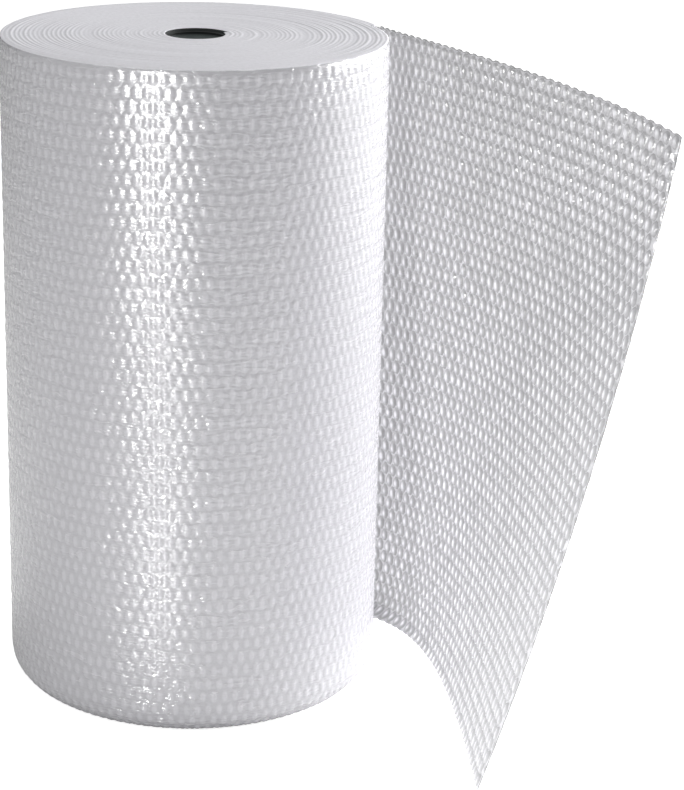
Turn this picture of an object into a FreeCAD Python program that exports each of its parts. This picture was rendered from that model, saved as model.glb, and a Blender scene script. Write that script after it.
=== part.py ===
"""A roll of bubble film standing on end, with its loose end peeled off at the back right.

Millimetres, +Z up. The origin is on the roll's axis at the base, and the front is towards -Y.
Angles are in degrees, counterclockwise from +X seen from above.
"""
import FreeCAD, Part
import math
import os

# The film and the roll that it is wound into
film_width = 600.0          # height of the roll as it stands
roll_diameter = 345.0       # over the outermost turn
film_thickness = 4.0        # one layer with its bubbles
layers_per_turn = 2         # each modelled turn stands for this many layers of film
web_thickness = 1.2         # the flat film between two ridges of bubbles
row_pitch = 12.25           # from one row of bubbles to the next, up the roll
rows_per_ridge = 2          # each modelled ridge stands for this many rows
turn_step = 1.0             # how far each turn's upper edge dips towards the axis
foot_rounding = 26.0        # the soft lower edge of the outer turns
rim_rounding = 2.5          # the crisp upper edge
seam_angle = 17.0           # where the outermost turn ends under the loose end

# The core
core_bore = 50.0
core_wall = 3.5
core_recess = 3.0           # the tube ends this far below the film
core_clearance = 0.25       # between the tube and the innermost turn

# The loose end leaves the roll along a slanted line, earlier at the foot than at the head
foot_leave_angle = 76.0
head_leave_angle = 22.0
foot_leave_run = 152.0      # how long each edge keeps its first direction
head_leave_run = 48.0
leave_depth = 2.0           # the loose end starts this far inside the outermost turn

# Bends and cut corners of the loose end: how far out from the roll's flank, and how far back
foot_bend_out = 60.5
foot_bend_back = 140.0
foot_corner_out = 87.5
foot_corner_back = -254.0
head_bend_out = 149.5
head_bend_back = -156.0
head_corner_out = 224.5
head_corner_back = -244.0
head_corner_droop = 29.0    # the upper corner sinks as the sheet leans out

# The belly of the loose end, half way up, against a straight line from foot to head
bend_belly_out = 21.0
bend_belly_back = 11.0
corner_belly_out = 20.0
corner_belly_back = -19.0

# How finely the rounded foot and the belly of the loose end are followed
foot_bands = 4
back_bands = 5

roll_radius = roll_diameter / 2
core_radius = core_bore / 2 + core_wall
film_bore_radius = core_radius + core_clearance
ridge_count = round(film_width / (row_pitch * rows_per_ridge))
turn_count = round((roll_radius - core_radius) / (film_thickness * layers_per_turn))
turn_pitch = (roll_radius - core_radius) / turn_count


def up_axis():
    return FreeCAD.Vector(0, 0, 1)


def polar(radius, angle, height=0.0):
    """A point at a distance and an angle from the roll's axis."""
    turn = math.radians(angle)
    return FreeCAD.Vector(radius * math.cos(turn), radius * math.sin(turn), height)


def foot_inset(height):
    """How far the rounded foot of the roll lies inside its outer radius at a height."""
    rise = foot_rounding - height
    if rise <= 0:
        return 0.0
    return foot_rounding - math.sqrt(foot_rounding ** 2 - rise ** 2)


def foot_heights():
    """Heights that follow the rounded foot, closer together where it curves in under the roll."""
    return [foot_rounding * (step / foot_bands) ** 2 for step in range(foot_bands)]


def half_section(outer_radius):
    """The wound film's section on one side of the axis, stepped by turns along its upper edge."""
    inner_radius = outer_radius - (turn_count + 1) * turn_pitch
    corners = [FreeCAD.Vector(inner_radius, 0, 0)]
    for height in foot_heights() + [foot_rounding]:
        corners.append(FreeCAD.Vector(outer_radius - foot_inset(height), 0, height))
    corners.append(FreeCAD.Vector(outer_radius, 0, film_width - rim_rounding))
    corners.append(FreeCAD.Vector(outer_radius - rim_rounding, 0, film_width))
    for turn in range(1, turn_count + 2):
        radius = outer_radius - turn * turn_pitch
        corners.append(FreeCAD.Vector(radius, 0, film_width - turn_step))
        if turn <= turn_count:
            corners.append(FreeCAD.Vector(radius, 0, film_width))
    return Part.Face(Part.makePolygon(corners + corners[:1]))


def wound_film():
    """The turns: two half rolls on centres half a turn's pitch apart, which makes a true spiral."""
    shift = turn_pitch / 4
    back = half_section(roll_radius - shift)
    back.translate(FreeCAD.Vector(shift, 0, 0))
    back_half = back.revolve(FreeCAD.Vector(shift, 0, 0), up_axis(), 180)
    front = half_section(roll_radius - 3 * shift)
    front.rotate(FreeCAD.Vector(0, 0, 0), up_axis(), 180)
    front.translate(FreeCAD.Vector(-shift, 0, 0))
    front_half = front.revolve(FreeCAD.Vector(-shift, 0, 0), up_axis(), 180)
    turns = back_half.fuse(front_half)
    turns.rotate(FreeCAD.Vector(0, 0, 0), up_axis(), seam_angle)
    return turns


def bowed(foot, belly, head, share):
    """A point on a gently bowed line from the foot to the head of the sheet."""
    middle = (foot + head) * 0.5 + belly
    return foot * (1 - share) ** 2 + middle * (2 * share * (1 - share)) + head * share ** 2


def loose_row(share, depth):
    """One level line of the loose end, from the roll to the cut edge, inside its outer face by a depth."""
    height = film_width * share
    angle = foot_leave_angle + (head_leave_angle - foot_leave_angle) * share
    run = foot_leave_run + (head_leave_run - foot_leave_run) * share
    radius = roll_radius - leave_depth - foot_inset(height) - depth
    start = polar(radius, angle, height)
    leave = start + polar(run, angle - 90)
    bend = bowed(
        FreeCAD.Vector(roll_radius + foot_bend_out, foot_bend_back, 0),
        FreeCAD.Vector(bend_belly_out, bend_belly_back, 0),
        FreeCAD.Vector(roll_radius + head_bend_out, head_bend_back, film_width),
        share,
    )
    corner = bowed(
        FreeCAD.Vector(roll_radius + foot_corner_out, foot_corner_back, 0),
        FreeCAD.Vector(corner_belly_out, corner_belly_back, 0),
        FreeCAD.Vector(roll_radius + head_corner_out, head_corner_back, film_width - head_corner_droop),
        share,
    )
    ahead = FreeCAD.Vector(corner.x - bend.x, corner.y - bend.y, 0).normalize()
    inward = FreeCAD.Vector(ahead.y, -ahead.x, 0) * depth
    curve = Part.BezierCurve()
    curve.setPoles([start, leave, bend + inward, corner + inward])
    return curve


def band(lower, upper):
    return Part.makeRuledSurface(lower.toShape(), upper.toShape())


def triangle(first, second, third):
    return Part.Face(Part.makePolygon([first, second, third, first]))


def edge_strip(ribbed, plain):
    """Triangles that close the sheet's thickness between its ribbed and its plain points."""
    strip = []
    rib = 0
    flat = 0
    while rib < len(ribbed) - 1 or flat < len(plain) - 1:
        plain_done = flat == len(plain) - 1
        if plain_done or (rib < len(ribbed) - 1 and ribbed[rib + 1].z <= plain[flat + 1].z):
            strip.append(triangle(ribbed[rib], ribbed[rib + 1], plain[flat]))
            rib += 1
        else:
            strip.append(triangle(ribbed[rib], plain[flat + 1], plain[flat]))
            flat += 1
    return strip


def back_shares():
    """Heights of the plain face's bands, closer together over the rounded foot."""
    foot_share = foot_rounding / film_width
    low = [height / film_width for height in foot_heights()]
    high = [foot_share + (1 - foot_share) * step / back_bands for step in range(back_bands + 1)]
    return low + high


def loose_end():
    """The peeled sheet: plain outside, and low ridges inside along its rows of bubbles."""
    inner = []
    for line in range(2 * ridge_count + 1):
        depth = film_thickness if line % 2 else web_thickness
        inner.append(loose_row(line / (2 * ridge_count), depth))
    outer = [loose_row(share, 0.0) for share in back_shares()]
    faces = [band(lower, upper) for lower, upper in zip(inner, inner[1:])]
    faces += [band(lower, upper) for lower, upper in zip(outer, outer[1:])]
    faces.append(band(inner[0], outer[0]))
    faces.append(band(inner[-1], outer[-1]))
    faces += edge_strip([row.value(0) for row in inner], [row.value(0) for row in outer])
    faces += edge_strip([row.value(1) for row in inner], [row.value(1) for row in outer])
    shell = Part.makeShell(faces)
    shell.sewShape()
    sheet = Part.makeSolid(shell)
    if sheet.Volume < 0:
        sheet.reverse()
    return sheet


def bubble_film():
    """The wound turns and the loose end are one length of film."""
    bore = Part.makeCylinder(film_bore_radius, 3 * film_width, FreeCAD.Vector(0, 0, -film_width))
    return wound_film().cut(bore).fuse(loose_end())


def core_tube():
    length = film_width - core_recess
    tube = Part.makeCylinder(core_radius, length)
    return tube.cut(Part.makeCylinder(core_bore / 2, length))


def main():
    os.makedirs("parts", exist_ok=True)
    pieces = {
        "bubble_film": bubble_film,
        "core_tube": core_tube,
    }
    for name, make in pieces.items():
        shape = make()
        print(name, shape.isValid(), len(shape.Solids), round(shape.Volume), shape.BoundBox)
        shape.Solids[0].exportStep(os.path.join("parts", name + ".step"))


main()
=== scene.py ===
"""Looks for the roll of bubble film: its bubbles, the edges of its turns and its loose end.

Metres, in the frame of the CAD model: +Z up, origin on the roll's axis at the base, front towards -Y.
"""
import bpy
import math
import numpy as np
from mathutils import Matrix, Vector


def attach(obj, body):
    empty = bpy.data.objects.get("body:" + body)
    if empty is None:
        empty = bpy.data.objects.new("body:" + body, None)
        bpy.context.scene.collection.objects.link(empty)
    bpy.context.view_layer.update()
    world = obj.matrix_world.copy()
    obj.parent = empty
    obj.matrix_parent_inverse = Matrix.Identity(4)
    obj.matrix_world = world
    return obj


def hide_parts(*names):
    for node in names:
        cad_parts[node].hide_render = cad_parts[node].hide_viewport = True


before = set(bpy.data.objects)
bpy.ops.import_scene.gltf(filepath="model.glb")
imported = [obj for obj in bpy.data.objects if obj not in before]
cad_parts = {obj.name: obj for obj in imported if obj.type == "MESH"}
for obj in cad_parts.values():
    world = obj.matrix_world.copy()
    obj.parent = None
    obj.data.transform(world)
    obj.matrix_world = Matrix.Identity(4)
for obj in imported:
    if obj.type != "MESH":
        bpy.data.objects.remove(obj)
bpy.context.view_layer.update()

rng = np.random.default_rng(7)

# The film and the roll, as in the CAD model
film_width = 0.600
roll_radius = 0.1725
film_pitch = 0.004
foot_rounding = 0.026
rim_rounding = 0.0022

# The loose end's leaving line, bends and corners, as in the CAD model
foot_leave_angle = 76.0
head_leave_angle = 22.0
foot_leave_run = 0.152
head_leave_run = 0.048
foot_bend_out = 0.0605
foot_bend_back = 0.140
foot_corner_out = 0.0875
foot_corner_back = -0.254
head_bend_out = 0.1495
head_bend_back = -0.156
head_corner_out = 0.2245
head_corner_back = -0.244
head_corner_droop = 0.029
bend_belly_out = 0.021
bend_belly_back = 0.011
corner_belly_out = 0.020
corner_belly_back = -0.019

# The bubbles
bubble_pitch = 0.0097       # from one bubble to the next in a row, along the film
row_pitch = 0.01225         # from one row to the next, across the film
bubble_half_along = 0.0040
bubble_half_across = 0.0078  # long enough to reach in between the bubbles of the next rows
end_half_across = 0.0056    # the same towards the head or foot edge
bubble_height = 0.0032      # on the inner side of the loose end
bulge_height = 0.0007       # what shows of a bubble through the plain side
web_thickness = 0.0008

# The outermost turn's outer face, and how much of it the bulges take
skin_radius = 0.1732
turn_count = 36

ring_corners = 8
wound_crown_share = 0.55    # the ring between a bubble's rim and its top, low and soft on the roll
loose_crown_share = 0.74    # and steep-sided on the loose end
crown_height = 0.80


def smooth_object(name, points, faces):
    """A smooth mesh piece that rides on the part's one body."""
    mesh = bpy.data.meshes.new(name)
    mesh.from_pydata([tuple(p) for p in points], [], faces)
    mesh.update()
    mesh.validate()
    piece = bpy.data.objects.new(name, mesh)
    bpy.context.scene.collection.objects.link(piece)
    mesh.polygons.foreach_set("use_smooth", [True] * len(mesh.polygons))
    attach(piece, "root")
    return piece


def store(piece, name, values):
    """Keeps one number per point of the mesh, for the piece's material."""
    attribute = piece.data.attributes.new(name, "FLOAT", "POINT")
    attribute.data.foreach_set("value", np.asarray(values, np.float32))


class Lattice:
    """A flat net of bubbles: rings joined by a web, in (along, across) coordinates.

    Bubbles sit in rows across the film, and every other row is shifted by half a pitch.
    """

    def __init__(self, crown_share, crown_tone, least_lift):
        self.crown_share = crown_share
        self.crown_tone = crown_tone
        self.least_lift = least_lift
        self.tone = []
        self.along = []
        self.across = []
        self.rise = []
        self.faces = []
        self.index = {}

    def point(self, along, across, rise, tone=0.0):
        self.along.append(along)
        self.across.append(across)
        self.rise.append(rise)
        self.tone.append(tone)
        return len(self.along) - 1

    def bubble(self, key, along, across, last):
        """One dome: its top, a ring round its crown and its rim."""
        below = end_half_across if key[0] == 0 else bubble_half_across
        above = end_half_across if last else bubble_half_across
        size = rng.uniform(0.94, 1.03)
        lift = rng.uniform(self.least_lift, 1.06)
        slip = rng.normal(0, 0.00018, 2)
        # shine sets each bubble's painted highlight: its top takes the full tone and its crown ring a share of it,
        # brighter than the rim and web.
        shine = rng.uniform(0.80, 1.06)
        top = self.point(along + slip[0], across + slip[1], lift, shine)
        crown = []
        rim = []
        for corner in range(ring_corners):
            turn = math.radians(22.5 + 45 * corner)
            reach = above if corner < 4 else below
            out = (size * bubble_half_along * math.cos(turn), size * reach * math.sin(turn))
            crown.append(self.point(along + slip[0] + self.crown_share * out[0],
                                    across + slip[1] + self.crown_share * out[1],
                                    lift * crown_height, shine * self.crown_tone))
            rim.append(self.point(along + out[0], across + out[1], 0.0))
        for corner in range(ring_corners):
            after = (corner + 1) % ring_corners
            self.faces.append((top, crown[corner], crown[after]))
            self.faces.append((crown[corner], rim[corner], rim[after], crown[after]))
        self.index[key] = rim

    def web(self, row, place, after, upper_left, upper_right):
        """The web to the right of a bubble and above it, as far as its neighbours exist."""
        a = self.index.get((row, place))
        b = self.index.get((row, after))
        left = self.index.get((row + 1, upper_left))
        right = self.index.get((row + 1, upper_right))
        if b:
            self.faces.append((a[7], b[4], b[3], a[0]))
        if b and right:
            self.faces.append((a[0], b[3], right[6], right[5]))
        if right:
            self.faces.append((a[0], right[5], right[4], a[1]))
        if left and right:
            self.faces.append((a[2], a[1], right[4], left[7]))
        if left:
            self.faces.append((a[3], a[2], left[7], left[6]))


def outward_edges(faces):
    """Edges that only one face uses, in that face's direction."""
    seen = {}
    for face in faces:
        for first, second in zip(face, face[1:] + face[:1]):
            seen[(first, second)] = True
    return [edge for edge in seen if (edge[1], edge[0]) not in seen]


# --- the wound roll ---

def leave_angle(share):
    """Where the outermost turn leaves the roll, in degrees, by share of the film's width."""
    return foot_leave_angle + (head_leave_angle - foot_leave_angle) * share


def turn_radius(angle, share):
    """The outer face of the outermost turn, in a spiral that loses one film per turn."""
    past = ((angle - leave_angle(share)) % 360.0) / 360.0
    return skin_radius - film_pitch * past


foot_arc = foot_rounding * math.pi / 2
skin_length = foot_arc + film_width - foot_rounding - rim_rounding


def skin_place(angle, across, lift):
    """A point on the wound film's side, by angle and distance up its profile, raised by lift."""
    if across < foot_arc:
        bend = across / foot_rounding
        height = foot_rounding * (1 - math.cos(bend))
        inset = foot_rounding * (1 - math.sin(bend))
        normal = (math.sin(bend), -math.cos(bend))
    else:
        height = foot_rounding + across - foot_arc
        inset = 0.0
        normal = (1.0, 0.0)
    radius = turn_radius(angle, height / film_width) - inset
    radius += lift * normal[0]
    height += lift * normal[1]
    turn = math.radians(angle)
    return (radius * math.cos(turn), radius * math.sin(turn), max(height, 0.0003))


def wound_side():
    """The plain outside of the roll, pushed out by the bubbles under it."""
    net = Lattice(wound_crown_share, 0.80, 0.78)
    around = round(2 * math.pi * roll_radius / bubble_pitch)
    rows = round(skin_length / row_pitch)
    step = 360.0 / around
    pitch = skin_length / rows
    for row in range(rows):
        for place in range(around):
            shift = 0.5 * (row % 2)
            net.bubble((row, place), (place + shift) * bubble_pitch, (row + 0.5) * pitch, row + 1 == rows)
    for row in range(rows):
        for place in range(around):
            after = (place + 1) % around
            if row % 2:
                net.web(row, place, after, place, after)
            else:
                net.web(row, place, after, (place - 1) % around, place)
    to_degrees = step / bubble_pitch
    points = [skin_place(a * to_degrees, s, r * bulge_height)
              for a, s, r in zip(net.along, net.across, net.rise)]
    values = list(net.tone)
    faces = list(net.faces)

    def ring(row, place_points):
        """Two points for each bubble of an end row, at a place on the profile."""
        made = []
        for place in range(around):
            rim = net.index[(row, place)]
            for corner in ((5, 6) if row == 0 else (2, 1)):
                made.append(len(points))
                points.append(place_points(net.along[rim[corner]] * to_degrees))
                values.append(0.0)
        return made

    def foot_point(drop, height):
        def place_point(angle):
            turn = math.radians(angle)
            radius = turn_radius(angle, 0.0) - foot_rounding - drop
            return (radius * math.cos(turn), radius * math.sin(turn), height)
        return place_point

    def rim_point(drop, height):
        def place_point(angle):
            turn = math.radians(angle)
            radius = turn_radius(angle, 1.0) - drop
            return (radius * math.cos(turn), radius * math.sin(turn), film_width - height)
        return place_point

    foot = ring(0, foot_point(0.0, 0.0003))
    foot_tuck = ring(0, foot_point(0.004, 0.0014))
    for place in range(around):
        a = net.index[(0, place)]
        b = net.index[(0, (place + 1) % around)]
        low, high, ahead = foot[2 * place], foot[2 * place + 1], foot[(2 * place + 2) % (2 * around)]
        faces.append((low, high, a[6], a[5]))
        faces.append((high, ahead, b[5], a[6]))
        faces.append((a[6], b[5], b[4], a[7]))
    last = rows - 1
    profile = [(0.0, rim_rounding), (0.0006, 0.0007), (0.0018, 0.0001), (0.0032, 0.0005),
               (film_pitch, 0.0004)]
    loops = [ring(last, rim_point(drop, height)) for drop, height in profile]
    for place in range(around):
        a = net.index[(last, place)]
        b = net.index[(last, (place + 1) % around)]
        low, high, ahead = (loops[0][2 * place], loops[0][2 * place + 1],
                            loops[0][(2 * place + 2) % (2 * around)])
        faces.append((a[2], a[1], high, low))
        faces.append((a[1], b[2], ahead, high))
        faces.append((a[1], a[0], b[3], b[2]))
    glossy = len(faces) + 4 * around
    for lower, upper in [(foot_tuck, foot)] + list(zip(loops, loops[1:])):
        for at in range(2 * around):
            after = (at + 1) % (2 * around)
            faces.append((lower[at], lower[after], upper[after], upper[at]))
    piece = smooth_object("film_wound_side", points, faces)
    store(piece, "bubble", values)
    store(piece, "clear", [1.0] * len(points))
    return piece, glossy


def turn_edges(name, share, level, up, first_turn, spokes, wall):
    """The edges of the inner turns at one end of the roll: a spiral of rounded ridges."""
    points = []
    faces = []
    steps = spokes * (turn_count - first_turn)
    rough = rng.normal(0, 1, (steps + spokes + 1, 2))
    wave = [rng.normal(0, 0.00012) for _ in range(turn_count + 2)]
    ridge = ((0.25, 0.00016), (0.50, 0.00024), (0.75, 0.00016))
    turn = leave_angle(share)
    grid = []
    for at in range(steps + spokes + 1):
        turns = first_turn + at / spokes
        angle = math.radians(turn + 360.0 * at / spokes)
        outer = skin_radius - film_pitch * turns
        line = []
        lows = int(turns)
        near = turns - lows
        sway = wave[lows] * (1 - near) + wave[lows + 1] * near if lows + 1 < len(wave) else 0.0
        for part, rise in ((0.0, 0.0),) + ridge:
            if part and at > steps:
                continue
            radius = outer - film_pitch * part
            lift = rise * (1 + 0.10 * rough[at][0]) + (sway if part else 0.0)
            height = max(level + up * (lift - 0.0004), 0.0002)
            line.append(len(points))
            points.append((radius * math.cos(angle), radius * math.sin(angle), height))
        grid.append(line)
    for at in range(steps):
        here, ahead = grid[at], grid[at + 1]
        inner, inner_ahead = grid[at + spokes][0], grid[at + spokes + 1][0] if at + spokes + 1 < len(grid) else None
        if inner_ahead is None:
            continue
        rails = list(zip(here + [inner], ahead + [inner_ahead]))
        for (a, b), (c, d) in zip(rails, rails[1:]):
            faces.append((a, b, d, c) if up > 0 else (a, c, d, b))
    if wall:
        foot = []
        start = steps
        for at in range(start, len(grid)):
            x, y, _ = points[grid[at][0]]
            foot.append(len(points))
            points.append((x, y, 0.002))
        edge_faces = len(faces)
        for at in range(start, len(grid) - 1):
            faces.append((grid[at][0], grid[at + 1][0], foot[at + 1 - start], foot[at - start]))
    else:
        edge_faces = len(faces)
    piece = smooth_object(name, points, faces)
    return piece, edge_faces


# --- the loose end ---

def bowed(foot, belly, head, share):
    middle = (np.array(foot) + np.array(head)) * 0.5 + np.array(belly)
    return np.array(foot) * (1 - share) ** 2 + middle * (2 * share * (1 - share)) + np.array(head) * share ** 2


def foot_inset(height):
    rise = foot_rounding - height
    if rise <= 0:
        return 0.0
    return foot_rounding - math.sqrt(foot_rounding ** 2 - min(rise, foot_rounding) ** 2)


def loose_row(share, samples):
    """The outer face's level line from the cut edge to the roll, and on round it, with its lengths."""
    height = film_width * share
    angle = math.radians(leave_angle(share))
    run = foot_leave_run + (head_leave_run - foot_leave_run) * share
    radius = skin_radius - 0.0004 - foot_inset(height)
    start = np.array((radius * math.cos(angle), radius * math.sin(angle), height))
    leave = start + np.array((run * math.sin(angle), -run * math.cos(angle), 0.0))
    bend = bowed((roll_radius + foot_bend_out, foot_bend_back, 0.0),
                 (bend_belly_out, bend_belly_back, 0.0),
                 (roll_radius + head_bend_out, head_bend_back, film_width), share)
    corner = bowed((roll_radius + foot_corner_out, foot_corner_back, 0.0),
                   (corner_belly_out, corner_belly_back, 0.0),
                   (roll_radius + head_corner_out, head_corner_back, film_width - head_corner_droop), share)
    t = np.linspace(1, 0, samples)[:, None]
    curve = start * (1 - t) ** 3 + 3 * leave * t * (1 - t) ** 2 + 3 * bend * t * t * (1 - t) + corner * t ** 3
    more = np.linspace(0, 16, 12)[1:]
    round_on = [((radius - 0.00004 * d) * math.cos(angle + math.radians(d)),
                 (radius - 0.00004 * d) * math.sin(angle + math.radians(d)), height) for d in more]
    line = np.vstack([curve, round_on])
    lengths = np.concatenate([[0.0], np.cumsum(np.linalg.norm(np.diff(line, axis=0), axis=1))])
    return line, lengths, lengths[samples - 1]


class LooseSurface:
    """The outer face of the loose end, looked up by distance from the cut edge and up the film."""

    def __init__(self, rows=97, samples=160, columns=220):
        self.rows = rows
        made = [loose_row(row / (rows - 1), samples) for row in range(rows)]
        self.reach = [free for _, _, free in made]
        self.longest = max(self.reach) + 0.03
        self.columns = columns
        at = np.linspace(0, self.longest, columns)
        self.grid = np.zeros((rows, columns, 3))
        for row, (line, lengths, _) in enumerate(made):
            for axis in range(3):
                self.grid[row, :, axis] = np.interp(at, lengths, line[:, axis])

    def free_length(self, across):
        return float(np.interp(across / film_width * (self.rows - 1), range(self.rows), self.reach))

    def at(self, along, across):
        """Outer face points for arrays of places; a little past the edges is carried on straight."""
        row = np.clip(across / film_width * (self.rows - 1), -2, self.rows + 1)
        column = along / self.longest * (self.columns - 1)
        r = np.clip(np.floor(row).astype(int), 0, self.rows - 2)
        c = np.clip(np.floor(column).astype(int), 0, self.columns - 2)
        u = (row - r)[:, None]
        w = (column - c)[:, None]
        g = self.grid
        return ((g[r, c] * (1 - w) + g[r, c + 1] * w) * (1 - u)
                + (g[r + 1, c] * (1 - w) + g[r + 1, c + 1] * w) * u)

    def normals(self, along, across):
        """Unit vectors from the outer face towards the sheet's inner side."""
        step = 0.002
        ahead = self.at(along + step, across) - self.at(along - step, across)
        up = self.at(along, across + step) - self.at(along, across - step)
        normal = np.cross(up, ahead)
        return normal / np.linalg.norm(normal, axis=1)[:, None]


def loose_end():
    """The peeled film: domes on its inner side, faint bulges on its plain side."""
    surface = LooseSurface()
    net = Lattice(loose_crown_share, 0.45, 0.80)
    rows = round(film_width / row_pitch)
    pitch = film_width / rows
    for row in range(rows):
        shift = 0.5 * (row % 2)
        across = (row + 0.5) * pitch
        places = math.ceil((surface.free_length(across) + 0.006) / bubble_pitch - shift)
        for place in range(places):
            net.bubble((row, place), (place + 0.5 + shift) * bubble_pitch, across, row + 1 == rows)
    counts = [sum(1 for key in net.index if key[0] == row) for row in range(rows)]
    for row in range(rows):
        for place in range(counts[row]):
            if row % 2:
                net.web(row, place, place + 1, place, place + 1)
            else:
                net.web(row, place, place + 1, place - 1, place)
    # the cut edge
    low = [net.point(0.0003 * rng.normal(), net.across[net.index[(row, 0)][4]], 0.0, rng.uniform(0, 0.2))
           for row in range(rows)]
    high = [net.point(0.0003 * rng.normal(), net.across[net.index[(row, 0)][3]], 0.0, rng.uniform(0, 0.2))
            for row in range(rows)]
    for row in range(rows):
        a = net.index[(row, 0)]
        net.faces.append((low[row], a[4], a[3], high[row]))
        if row + 1 == rows:
            continue
        b = net.index[(row + 1, 0)]
        if row % 2:
            net.faces.append((high[row], a[3], b[6], b[5]))
            net.faces.append((high[row], b[5], b[4], low[row + 1]))
        else:
            net.faces.append((high[row], a[3], a[2], low[row + 1]))
            net.faces.append((low[row + 1], a[2], a[1], b[4]))
    # the foot and head edges, scalloped where they cut through a row of bubbles
    scallop = 0.0008

    def edge(row, inner, outer, across, out):
        """Boundary points under or over each bubble of an end row, joined to its rim."""
        line = []
        for place in range(counts[row]):
            rim = net.index[(row, place)]
            line.append(net.point(net.along[rim[outer[0]]], across + out * scallop, 0.0, 0.12))
            line.append(net.point(net.along[rim[outer[1]]], across + out * scallop, 0.0, 0.12))
        return line

    foot = edge(0, None, (5, 6), 0.0006, -0.5)
    head = edge(rows - 1, None, (2, 1), film_width - 0.0006, 1.0)
    corner_low = net.point(0.0, 0.0004, 0.0)
    corner_high = net.point(0.0, film_width - 0.0008, 0.0)
    a = net.index[(0, 0)]
    net.faces.append((corner_low, foot[0], a[5], a[4]))
    net.faces.append((corner_low, a[4], low[0]))
    a = net.index[(rows - 1, 0)]
    net.faces.append((a[3], a[2], head[0], corner_high))
    net.faces.append((high[rows - 1], a[3], corner_high))
    for place in range(counts[0]):
        a = net.index[(0, place)]
        net.faces.append((foot[2 * place], foot[2 * place + 1], a[6], a[5]))
        if place + 1 < counts[0]:
            b = net.index[(0, place + 1)]
            dip = net.point(0.5 * (net.along[a[6]] + net.along[b[5]]), 0.0010, 0.0)
            net.faces.append((foot[2 * place + 1], dip, a[6]))
            net.faces.append((dip, foot[2 * place + 2], b[5]))
            net.faces.append((dip, b[5], a[6]))
            net.faces.append((a[6], b[5], b[4], a[7]))
    last = rows - 1
    for place in range(counts[last]):
        a = net.index[(last, place)]
        net.faces.append((a[2], a[1], head[2 * place + 1], head[2 * place]))
        if place + 1 < counts[last]:
            b = net.index[(last, place + 1)]
            dip = net.point(0.5 * (net.along[a[1]] + net.along[b[2]]), film_width - 0.0014, 0.0)
            net.faces.append((a[1], dip, head[2 * place + 1]))
            net.faces.append((dip, b[2], head[2 * place + 2]))
            net.faces.append((a[1], b[2], dip))
            net.faces.append((a[1], a[0], b[3], b[2]))

    along = np.array(net.along)
    across = np.array(net.across)
    rise = np.array(net.rise)
    # the part that goes on under the outermost turn lies flat, and its upper edge dips out of sight
    leave = np.interp(across / film_width * (surface.rows - 1), range(surface.rows), surface.reach)
    under = np.clip((along - leave + 0.006) / 0.010, 0, 1)
    rise = rise * (1 - under)
    across = across - 0.0025 * under * np.clip(across / film_width * 10 - 9, 0, 1)
    base = surface.at(along, across)
    normal = surface.normals(along, across)
    outer = base - normal * (rise * bulge_height * 0.4)[:, None]
    inner = base + normal * (web_thickness + rise * bubble_height)[:, None]
    count = len(along)
    # along runs from the cut edge to the roll, so the net faces the outer side as it is
    faces = list(net.faces)
    faces += [tuple(count + p for p in reversed(face)) for face in net.faces]
    faces += [(b, a, a + count, b + count) for a, b in outward_edges(net.faces)]
    piece = smooth_object("film_loose_end", np.vstack([outer, inner]), faces)
    tone = np.array(net.tone)
    store(piece, "bubble", np.concatenate([tone, tone]))
    # Painted light and shade: the colour brightens towards the cut edge and most at the low free corner, where
    # light comes through the film, and darkens near the roll, which shades it. The plain outer side is painted at a
    # quarter of that, so it stays dark under the key light.
    free = 1 - np.clip(along / surface.longest, 0, 1)
    low = 1 - np.clip(across / film_width, 0, 1)
    clear = 0.11 + 0.72 * free + 0.04 * low + 1.08 * free * low
    store(piece, "clear", np.concatenate([0.25 * clear, clear]))
    return piece, surface


side, side_glossy = wound_side()
upper_edges, upper_plain = turn_edges("film_upper_edges", 1.0, film_width, 1.0, 1, 160, True)
lower_edges, lower_plain = turn_edges("film_lower_edges", 0.0, 0.0, -1.0, 6, 96, False)
loose, loose_surface = loose_end()
for piece in (side, upper_edges, lower_edges, loose):
    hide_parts("bubble_film")


# --- materials ---

def node(tree, kind, **settings):
    made = tree.nodes.new(kind)
    for key, value in settings.items():
        setattr(made, key, value)
    return made


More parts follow.
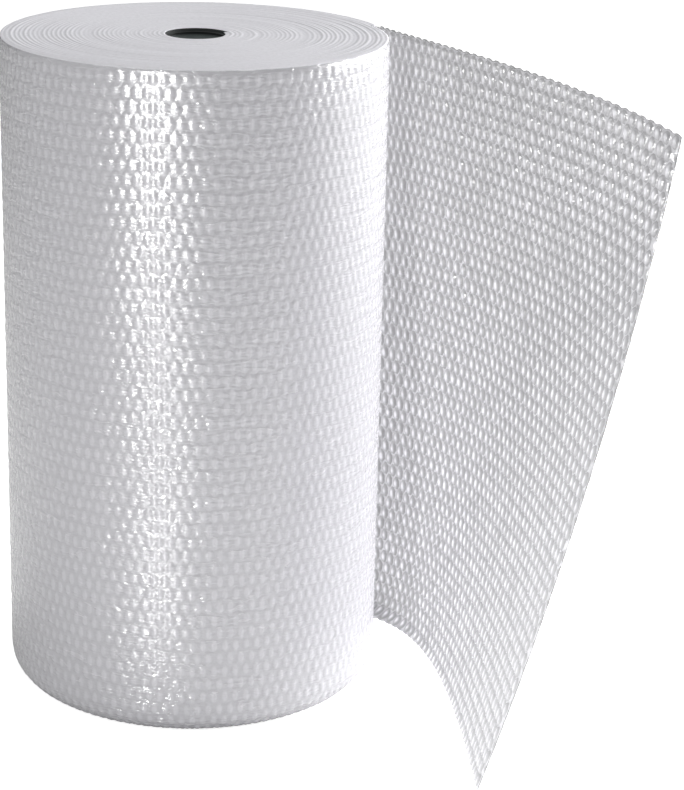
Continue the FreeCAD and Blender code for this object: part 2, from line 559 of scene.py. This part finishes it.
def film_material(name, wrinkle, gloss, through, tones):
    """Milky glossy film: painted highlights on the bubbles' tops, a painted-shade ring round each bubble, fine
    level wrinkles, and some light let through.
    """
    material = bpy.data.materials.new(name)
    material.use_nodes = True
    tree = material.node_tree
    shader = tree.nodes["Principled BSDF"]
    shader.inputs["Coat Weight"].default_value = gloss
    shader.inputs["Coat Roughness"].default_value = 0.06
    shader.inputs["Coat IOR"].default_value = 1.9
    shader.inputs["Specular IOR Level"].default_value = gloss
    shader.inputs["IOR"].default_value = 1.6
    place = node(tree, "ShaderNodeTexCoord")
    bubble = node(tree, "ShaderNodeAttribute", attribute_name="bubble")
    cloud = node(tree, "ShaderNodeTexNoise")
    cloud.inputs["Scale"].default_value = 130.0
    cloud.inputs["Detail"].default_value = 4.0
    tree.links.new(place.outputs["Object"], cloud.inputs["Vector"])
    blend = node(tree, "ShaderNodeMath", operation="MULTIPLY_ADD")
    tree.links.new(cloud.outputs["Fac"], blend.inputs[0])
    blend.inputs[1].default_value = 0.36
    tree.links.new(bubble.outputs["Fac"], blend.inputs[2])
    ramp = node(tree, "ShaderNodeValToRGB")
    stops = ramp.color_ramp.elements
    while len(stops) < len(tones):
        stops.new(0.5)
    for stop, (position, shade) in zip(stops, tones):
        stop.position = position
        stop.color = (shade * 0.995, shade * 0.985, shade * 1.040, 1)
    tree.links.new(blend.outputs[0], ramp.inputs["Fac"])
    # The clear number scales the tone and, from 1 to 1.7, lifts it towards white by up to 0.30: painted light and
    # shade on the loose end. On the roll it is 1 and changes nothing.
    clear = node(tree, "ShaderNodeAttribute", attribute_name="clear")
    painted_light_tone = node(tree, "ShaderNodeVectorMath", operation="SCALE")
    tree.links.new(ramp.outputs["Color"], painted_light_tone.inputs["Vector"])
    tree.links.new(clear.outputs["Fac"], painted_light_tone.inputs["Scale"])
    pale = node(tree, "ShaderNodeMapRange")
    pale.inputs["From Min"].default_value = 1.0
    pale.inputs["From Max"].default_value = 1.7
    pale.inputs["To Max"].default_value = 0.30
    tree.links.new(clear.outputs["Fac"], pale.inputs["Value"])
    raised = node(tree, "ShaderNodeVectorMath", operation="ADD")
    tree.links.new(painted_light_tone.outputs["Vector"], raised.inputs[0])
    tree.links.new(pale.outputs["Result"], raised.inputs[1])
    cap = node(tree, "ShaderNodeVectorMath", operation="MINIMUM")
    tree.links.new(raised.outputs["Vector"], cap.inputs[0])
    cap.inputs[1].default_value = (0.96, 0.955, 0.99)
    tree.links.new(cap.outputs["Vector"], shader.inputs["Base Color"])
    stretch = node(tree, "ShaderNodeMapping")
    stretch.inputs["Scale"].default_value = (60.0, 60.0, 260.0)
    tree.links.new(place.outputs["Object"], stretch.inputs["Vector"])
    streak = node(tree, "ShaderNodeTexNoise")
    streak.inputs["Scale"].default_value = 1.0
    streak.inputs["Detail"].default_value = 2.0
    streak.inputs["Distortion"].default_value = 0.8
    tree.links.new(stretch.outputs["Vector"], streak.inputs["Vector"])
    rough = node(tree, "ShaderNodeMapRange")
    rough.inputs["To Min"].default_value = 0.18
    rough.inputs["To Max"].default_value = 0.32
    tree.links.new(streak.outputs["Fac"], rough.inputs["Value"])
    tree.links.new(rough.outputs["Result"], shader.inputs["Roughness"])
    for socket, strength in (("Coat Normal", wrinkle), ("Normal", 0.15 * wrinkle)):
        bump = node(tree, "ShaderNodeBump")
        bump.inputs["Strength"].default_value = strength
        bump.inputs["Distance"].default_value = 0.0032
        tree.links.new(streak.outputs["Fac"], bump.inputs["Height"])
        tree.links.new(bump.outputs["Normal"], shader.inputs[socket])
    if through:
        glow = node(tree, "ShaderNodeBsdfTranslucent")
        glow.inputs["Color"].default_value = (0.50, 0.50, 0.51, 1)
        mix = node(tree, "ShaderNodeMixShader")
        mix.inputs["Fac"].default_value = through
        tree.links.new(shader.outputs["BSDF"], mix.inputs[1])
        tree.links.new(glow.outputs["BSDF"], mix.inputs[2])
        tree.links.new(mix.outputs["Shader"], tree.nodes["Material Output"].inputs["Surface"])
    return material


def edge_material():
    """The cut edges of many layers: matt and pale."""
    material = bpy.data.materials.new("film_edges")
    material.use_nodes = True
    tree = material.node_tree
    shader = tree.nodes["Principled BSDF"]
    place = node(tree, "ShaderNodeTexCoord")
    grain = node(tree, "ShaderNodeTexNoise")
    grain.inputs["Scale"].default_value = 260.0
    grain.inputs["Detail"].default_value = 4.0
    tree.links.new(place.outputs["Object"], grain.inputs["Vector"])
    ramp = node(tree, "ShaderNodeValToRGB")
    ramp.color_ramp.elements[0].color = (0.66, 0.655, 0.69, 1)
    ramp.color_ramp.elements[1].color = (0.84, 0.835, 0.875, 1)
    tree.links.new(grain.outputs["Fac"], ramp.inputs["Fac"])
    tree.links.new(ramp.outputs["Color"], shader.inputs["Base Color"])
    shader.inputs["Roughness"].default_value = 0.6
    bump = node(tree, "ShaderNodeBump")
    bump.inputs["Strength"].default_value = 0.25
    bump.inputs["Distance"].default_value = 0.0006
    tree.links.new(grain.outputs["Fac"], bump.inputs["Height"])
    tree.links.new(bump.outputs["Normal"], shader.inputs["Normal"])
    return material


def board_material():
    """Plain grey wound board, near black at and just under its top end: painted shade in the recess under the
    film's rim.
    """
    material = bpy.data.materials.new("core_board")
    material.use_nodes = True
    tree = material.node_tree
    shader = tree.nodes["Principled BSDF"]
    place = node(tree, "ShaderNodeTexCoord")
    fibre = node(tree, "ShaderNodeTexNoise")
    fibre.inputs["Scale"].default_value = 140.0
    fibre.inputs["Detail"].default_value = 6.0
    tree.links.new(place.outputs["Object"], fibre.inputs["Vector"])
    ramp = node(tree, "ShaderNodeValToRGB")
    ramp.color_ramp.elements[0].color = (0.22, 0.26, 0.26, 1)
    ramp.color_ramp.elements[1].color = (0.42, 0.47, 0.47, 1)
    tree.links.new(fibre.outputs["Fac"], ramp.inputs["Fac"])
    parts = node(tree, "ShaderNodeSeparateXYZ")
    tree.links.new(place.outputs["Object"], parts.inputs["Vector"])
    # Painted shade: the board fades to near black between 7.5 and 4.5 mm under the film's top, where the recess
    # round the bore lies in shadow.
    end = node(tree, "ShaderNodeMapRange")
    end.inputs["From Min"].default_value = film_width - 0.0075
    end.inputs["From Max"].default_value = film_width - 0.0045
    tree.links.new(parts.outputs["Z"], end.inputs["Value"])
    mix = node(tree, "ShaderNodeMix", data_type="RGBA")
    tree.links.new(end.outputs["Result"], mix.inputs["Factor"])
    tree.links.new(ramp.outputs["Color"], mix.inputs["A"])
    mix.inputs["B"].default_value = (0.018, 0.022, 0.022, 1)
    tree.links.new(mix.outputs["Result"], shader.inputs["Base Color"])
    shader.inputs["Roughness"].default_value = 0.8
    bump = node(tree, "ShaderNodeBump")
    bump.inputs["Strength"].default_value = 0.3
    bump.inputs["Distance"].default_value = 0.0005
    tree.links.new(fibre.outputs["Fac"], bump.inputs["Height"])
    tree.links.new(bump.outputs["Normal"], shader.inputs["Normal"])
    return material


def wear(piece, material, second=None, from_face=0):
    """One material for the piece, and a second one from one of its faces on."""
    piece.data.materials.clear()
    piece.data.materials.append(material)
    if second:
        piece.data.materials.append(second)
        for face in piece.data.polygons[from_face:]:
            face.material_index = 1


# The tone ramps for the web, ring, crown and top of each bubble. The dark ring is painted shade and the light top
# is a painted highlight, both strong on the loose end. On the roll the lighter ovals are partly the film's milky
# tone over each bubble and partly painted highlight.
wound_tones = ((0.08, 0.48), (0.30, 0.47), (0.70, 0.505), (1.05, 0.56))
loose_tones = ((0.14, 0.56), (0.28, 0.11), (0.60, 0.22), (0.84, 0.54), (1.06, 0.92))
wound_look = film_material("film_wound", 1.0, 1.0, 0.0, wound_tones)
loose_look = film_material("film_loose", 0.45, 0.6, 0.20, loose_tones)
edge_look = edge_material()
board_look = board_material()
wear(side, wound_look, edge_look, side_glossy)
wear(loose, loose_look)
# The film's bore wall wears the board look, so it is near black at its top too: painted shade.
wear(upper_edges, edge_look, board_look, upper_plain)
wear(lower_edges, edge_look)
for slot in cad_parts["core_tube"].material_slots:
    slot.material = board_look


def floor():
    material = bpy.data.materials.new("floor")
    material.use_nodes = True
    tree = material.node_tree
    shader = tree.nodes["Principled BSDF"]
    shader.inputs["Base Color"].default_value = (0.75, 0.75, 0.75, 1)
    shader.inputs["Roughness"].default_value = 0.9
    shader.inputs["Emission Color"].default_value = (1, 1, 1, 1)
    path = node(tree, "ShaderNodeLightPath")
    level = node(tree, "ShaderNodeMapRange")
    level.inputs["To Min"].default_value = 0.01
    level.inputs["To Max"].default_value = 0.82
    tree.links.new(path.outputs["Is Camera Ray"], level.inputs["Value"])
    tree.links.new(level.outputs["Result"], shader.inputs["Emission Strength"])
    mesh = bpy.data.meshes.new("floor")
    reach = 30.0
    mesh.from_pydata([(-reach, -reach, 0), (reach, -reach, 0), (reach, reach, 0), (-reach, reach, 0)],
                     [], [(0, 1, 2, 3)])
    mesh.materials.append(material)
    piece = bpy.data.objects.new("floor", mesh)
    bpy.context.scene.collection.objects.link(piece)
    return piece


def softbox(name, place, aim, width, height, power, color=(1, 1, 1)):
    data = bpy.data.lights.new(name, "AREA")
    data.shape = "RECTANGLE"
    data.size = width
    data.size_y = height
    data.energy = power
    data.color = color
    lamp = bpy.data.objects.new(name, data)
    bpy.context.scene.collection.objects.link(lamp)
    lamp.location = place
    lamp.rotation_euler = (Vector(aim) - Vector(place)).to_track_quat("-Z", "Y").to_euler()
    lamp.visible_camera = False
    return lamp


floor()
world = bpy.data.worlds.new("studio")
world.use_nodes = True
sky = world.node_tree
toward = node(sky, "ShaderNodeTexCoord")
parts = node(sky, "ShaderNodeSeparateXYZ")
sky.links.new(toward.outputs["Generated"], parts.inputs["Vector"])
total = node(sky, "ShaderNodeMath", operation="ADD")
for place, (axis, end, strength) in enumerate((("Z", 1.0, 0.48), ("X", -1.0, 0.20))):
    lobe = node(sky, "ShaderNodeMapRange", interpolation_type="SMOOTHSTEP")
    lobe.inputs["From Min"].default_value = 0.0
    lobe.inputs["From Max"].default_value = end
    lobe.inputs["To Min"].default_value = 0.0
    lobe.inputs["To Max"].default_value = strength
    sky.links.new(parts.outputs[axis], lobe.inputs["Value"])
    sky.links.new(lobe.outputs["Result"], total.inputs[place])
path = node(sky, "ShaderNodeLightPath")
level = node(sky, "ShaderNodeMix", data_type="FLOAT")
level.inputs["B"].default_value = 1.0
sky.links.new(path.outputs["Is Camera Ray"], level.inputs["Factor"])
sky.links.new(total.outputs["Value"], level.inputs["A"])
sky.nodes["Background"].inputs["Color"].default_value = (1.0, 1.0, 1.0, 1)
sky.links.new(level.outputs["Result"], sky.nodes["Background"].inputs["Strength"])
bpy.context.scene.world = world
loose.visible_shadow = False
softbox("key_right", (2.46, 0.43, 0.70), (0.1, 0, 0.3), 1.2, 1.2, 52)
softbox("fill_back_right", (2.05, 1.43, 0.70), (0.1, 0, 0.3), 1.2, 1.2, 118)
softbox("strip_front_left", (-0.75, -2.1, 0.45), (0, 0, 0.3), 0.2, 0.6, 18)
low_strip = softbox("strip_on_floor", (-0.213, -0.94, 0.01), (-0.213, -0.94, 1.0), 0.04, 1.2, 1.0)
low_strip.rotation_euler = (math.pi, 0, math.radians(-13))
softbox("top", (0, 0.2, 2.6), (0, 0, 0), 2.0, 2.0, 16)

camera_across = 0.1355
camera_back = 2.0426
camera_height = 0.9588
camera_pitch = math.radians(18.676)
camera_roll = math.radians(1.397)
focal_pixels = 2336.9
photo_height = 790
sensor = 36.0

camera_data = bpy.data.cameras.new("camera")
camera_data.sensor_fit = "AUTO"
camera_data.sensor_width = sensor
camera_data.lens = focal_pixels * sensor / photo_height
camera = bpy.data.objects.new("camera", camera_data)
bpy.context.scene.collection.objects.link(camera)
ahead = Vector((0, math.cos(camera_pitch), -math.sin(camera_pitch)))
level_up = Vector((0, math.sin(camera_pitch), math.cos(camera_pitch)))
level_right = Vector((1, 0, 0))
right = math.cos(camera_roll) * level_right + math.sin(camera_roll) * level_up
up = -math.sin(camera_roll) * level_right + math.cos(camera_roll) * level_up
matrix = camera.matrix_world.copy()
for axis, vector in enumerate((right, up, -ahead)):
    for row in range(3):
        matrix[row][axis] = vector[row]
matrix.translation = Vector((camera_across, -camera_back, camera_height))
camera.matrix_world = matrix
bpy.context.scene.camera = camera
bpy.context.scene.view_settings.view_transform = "Standard"
